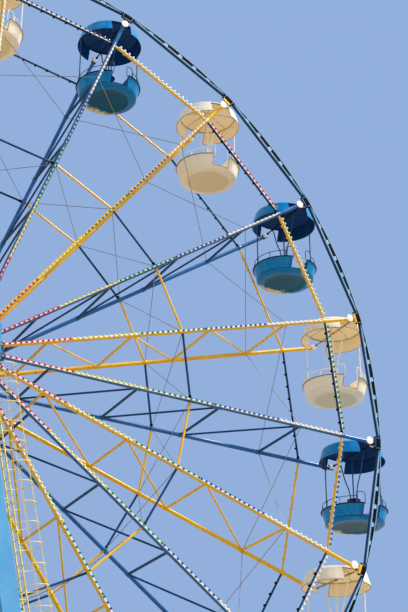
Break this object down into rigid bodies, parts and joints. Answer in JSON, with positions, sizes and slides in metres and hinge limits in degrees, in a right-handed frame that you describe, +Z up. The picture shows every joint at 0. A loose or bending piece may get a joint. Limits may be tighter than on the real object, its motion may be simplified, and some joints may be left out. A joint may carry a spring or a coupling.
{
  "type": "ferris wheel",
  "caption": "Fairground ferris wheel with truss spokes, ring struts, a drive rim and round open cabins that stay level, on two A-frames with a ladder.",
  "frame": {"origin": "on the ground, under the middle of the hub", "axes": "+X across the wheel to the right as seen from the side with the drive rim, +Y along the axle away from that side, +Z up"},
  "size_m": [26.3676, 6.7, 29.0538],
  "materials": {
    "yellow_paint": "gloss enamel on steel tube",
    "blue_paint": "gloss enamel on steel tube",
    "dark_blue_paint": "enamel on steel tube",
    "rim_paint": "enamel on steel strip",
    "tower_paint": "satin enamel on steel",
    "base_paint": "matt enamel on steel",
    "hub_paint": "satin enamel on steel",
    "black_rubber": "matt black drive blocks and clamps",
    "ivory_shell": "glass fibre with ivory gel coat",
    "blue_shell": "glass fibre with blue gel coat",
    "galvanised": "galvanised stay rods and rungs",
    "bulb_red": "coloured lamp cap",
    "bulb_yellow": "coloured lamp cap",
    "bulb_green": "coloured lamp cap",
    "bulb_blue": "coloured lamp cap",
    "bulb_white": "white lamp cap and lamp strip"
  },
  "bodies": {
    "supports": {"front_bearing_head": "tower_paint", "rear_bearing_head": "tower_paint", "front_left_leg": "tower_paint", "front_right_leg": "tower_paint", "rear_left_leg": "tower_paint", "rear_right_leg": "tower_paint", "front_leg_tie": "tower_paint", "rear_leg_tie": "tower_paint", "front_ground_tie": "base_paint", "rear_ground_tie": "base_paint", "left_base_beam": "base_paint", "right_base_beam": "base_paint", "ladder": "yellow_paint"},
    "wheel": {"spoke_01": "yellow_paint", "spoke_02": "blue_paint", "spoke_03": "yellow_paint", "spoke_04": "blue_paint", "spoke_05": "yellow_paint", "spoke_06": "blue_paint", "spoke_07": "yellow_paint", "spoke_08": "blue_paint", "spoke_09": "yellow_paint", "spoke_10": "blue_paint", "spoke_11": "yellow_paint", "spoke_12": "blue_paint", "spoke_13": "yellow_paint", "spoke_14": "blue_paint", "spoke_15": "yellow_paint", "spoke_16": "blue_paint", "spoke_17": "yellow_paint", "spoke_18": "blue_paint", "spoke_19": "yellow_paint", "spoke_20": "blue_paint", "hub": "hub_paint", "mid_ring_front": "blue_paint", "mid_ring_rear": "blue_paint", "outer_ring_front": "yellow_paint", "outer_ring_rear": "yellow_paint", "rim_tubes": "dark_blue_paint", "drive_band": "rim_paint"},
    "cabin_01": {"cabin_01": "ivory_shell"},
    "cabin_02": {"cabin_02": "blue_shell"},
    "cabin_03": {"cabin_03": "ivory_shell"},
    "cabin_04": {"cabin_04": "blue_shell"},
    "cabin_05": {"cabin_05": "ivory_shell"},
    "cabin_06": {"cabin_06": "blue_shell"},
    "cabin_07": {"cabin_07": "ivory_shell"},
    "cabin_08": {"cabin_08": "blue_shell"},
    "cabin_09": {"cabin_09": "ivory_shell"},
    "cabin_10": {"cabin_10": "blue_shell"},
    "cabin_11": {"cabin_11": "ivory_shell"},
    "cabin_12": {"cabin_12": "blue_shell"},
    "cabin_13": {"cabin_13": "ivory_shell"},
    "cabin_14": {"cabin_14": "blue_shell"},
    "cabin_15": {"cabin_15": "ivory_shell"},
    "cabin_16": {"cabin_16": "blue_shell"},
    "cabin_17": {"cabin_17": "ivory_shell"},
    "cabin_18": {"cabin_18": "blue_shell"},
    "cabin_19": {"cabin_19": "ivory_shell"},
    "cabin_20": {"cabin_20": "blue_shell"}
  },
  "joints": [
    {"name": "wheel_spin", "type": "hinge", "parent": "supports", "child": "wheel", "pos_m": [0, 0, 16.5], "axis": [0, 1, 0], "continuous": true},
    {"name": "cabin_01_swing", "type": "hinge", "parent": "wheel", "child": "cabin_01", "pos_m": [0.39087, 0, 28.73376], "axis": [0, 1, 0], "continuous": true},
    {"name": "cabin_02_swing", "type": "hinge", "parent": "wheel", "child": "cabin_02", "pos_m": [4.15218, 0, 28.01421], "axis": [0, 1, 0], "continuous": true},
    {"name": "cabin_03_swing", "type": "hinge", "parent": "wheel", "child": "cabin_03", "pos_m": [7.50704, 0, 26.16757], "axis": [0, 1, 0], "continuous": true},
    {"name": "cabin_04_swing", "type": "hinge", "parent": "wheel", "child": "cabin_04", "pos_m": [10.12707, 0, 23.3746], "axis": [0, 1, 0], "continuous": true},
    {"name": "cabin_05_swing", "type": "hinge", "parent": "wheel", "child": "cabin_05", "pos_m": [11.75578, 0, 19.9087], "axis": [0, 1, 0], "continuous": true},
    {"name": "cabin_06_swing", "type": "hinge", "parent": "wheel", "child": "cabin_06", "pos_m": [12.23376, 0, 16.10913], "axis": [0, 1, 0], "continuous": true},
    {"name": "cabin_07_swing", "type": "hinge", "parent": "wheel", "child": "cabin_07", "pos_m": [11.51421, 0, 12.34782], "axis": [0, 1, 0], "continuous": true},
    {"name": "cabin_08_swing", "type": "hinge", "parent": "wheel", "child": "cabin_08", "pos_m": [9.66757, 0, 8.99296], "axis": [0, 1, 0], "continuous": true},
    {"name": "cabin_09_swing", "type": "hinge", "parent": "wheel", "child": "cabin_09", "pos_m": [6.8746, 0, 6.37293], "axis": [0, 1, 0], "continuous": true},
    {"name": "cabin_10_swing", "type": "hinge", "parent": "wheel", "child": "cabin_10", "pos_m": [3.4087, 0, 4.74422], "axis": [0, 1, 0], "continuous": true},
    {"name": "cabin_11_swing", "type": "hinge", "parent": "wheel", "child": "cabin_11", "pos_m": [-0.39087, 0, 4.26624], "axis": [0, 1, 0], "continuous": true},
    {"name": "cabin_12_swing", "type": "hinge", "parent": "wheel", "child": "cabin_12", "pos_m": [-4.15218, 0, 4.98579], "axis": [0, 1, 0], "continuous": true},
    {"name": "cabin_13_swing", "type": "hinge", "parent": "wheel", "child": "cabin_13", "pos_m": [-7.50704, 0, 6.83243], "axis": [0, 1, 0], "continuous": true},
    {"name": "cabin_14_swing", "type": "hinge", "parent": "wheel", "child": "cabin_14", "pos_m": [-10.12707, 0, 9.6254], "axis": [0, 1, 0], "continuous": true},
    {"name": "cabin_15_swing", "type": "hinge", "parent": "wheel", "child": "cabin_15", "pos_m": [-11.75578, 0, 13.0913], "axis": [0, 1, 0], "continuous": true},
    {"name": "cabin_16_swing", "type": "hinge", "parent": "wheel", "child": "cabin_16", "pos_m": [-12.23376, 0, 16.89087], "axis": [0, 1, 0], "continuous": true},
    {"name": "cabin_17_swing", "type": "hinge", "parent": "wheel", "child": "cabin_17", "pos_m": [-11.51421, 0, 20.65218], "axis": [0, 1, 0], "continuous": true},
    {"name": "cabin_18_swing", "type": "hinge", "parent": "wheel", "child": "cabin_18", "pos_m": [-9.66757, 0, 24.00705], "axis": [0, 1, 0], "continuous": true},
    {"name": "cabin_19_swing", "type": "hinge", "parent": "wheel", "child": "cabin_19", "pos_m": [-6.8746, 0, 26.62707], "axis": [0, 1, 0], "continuous": true},
    {"name": "cabin_20_swing", "type": "hinge", "parent": "wheel", "child": "cabin_20", "pos_m": [-3.4087, 0, 28.25578], "axis": [0, 1, 0], "continuous": true}
  ],
  "couplings": [
    {"joint": "cabin_01_swing", "follows": "wheel_spin", "ratio": -1},
    {"joint": "cabin_02_swing", "follows": "wheel_spin", "ratio": -1},
    {"joint": "cabin_03_swing", "follows": "wheel_spin", "ratio": -1},
    {"joint": "cabin_04_swing", "follows": "wheel_spin", "ratio": -1},
    {"joint": "cabin_05_swing", "follows": "wheel_spin", "ratio": -1},
    {"joint": "cabin_06_swing", "follows": "wheel_spin", "ratio": -1},
    {"joint": "cabin_07_swing", "follows": "wheel_spin", "ratio": -1},
    {"joint": "cabin_08_swing", "follows": "wheel_spin", "ratio": -1},
    {"joint": "cabin_09_swing", "follows": "wheel_spin", "ratio": -1},
    {"joint": "cabin_10_swing", "follows": "wheel_spin", "ratio": -1},
    {"joint": "cabin_11_swing", "follows": "wheel_spin", "ratio": -1},
    {"joint": "cabin_12_swing", "follows": "wheel_spin", "ratio": -1},
    {"joint": "cabin_13_swing", "follows": "wheel_spin", "ratio": -1},
    {"joint": "cabin_14_swing", "follows": "wheel_spin", "ratio": -1},
    {"joint": "cabin_15_swing", "follows": "wheel_spin", "ratio": -1},
    {"joint": "cabin_16_swing", "follows": "wheel_spin", "ratio": -1},
    {"joint": "cabin_17_swing", "follows": "wheel_spin", "ratio": -1},
    {"joint": "cabin_18_swing", "follows": "wheel_spin", "ratio": -1},
    {"joint": "cabin_19_swing", "follows": "wheel_spin", "ratio": -1},
    {"joint": "cabin_20_swing", "follows": "wheel_spin", "ratio": -1}
  ]
}
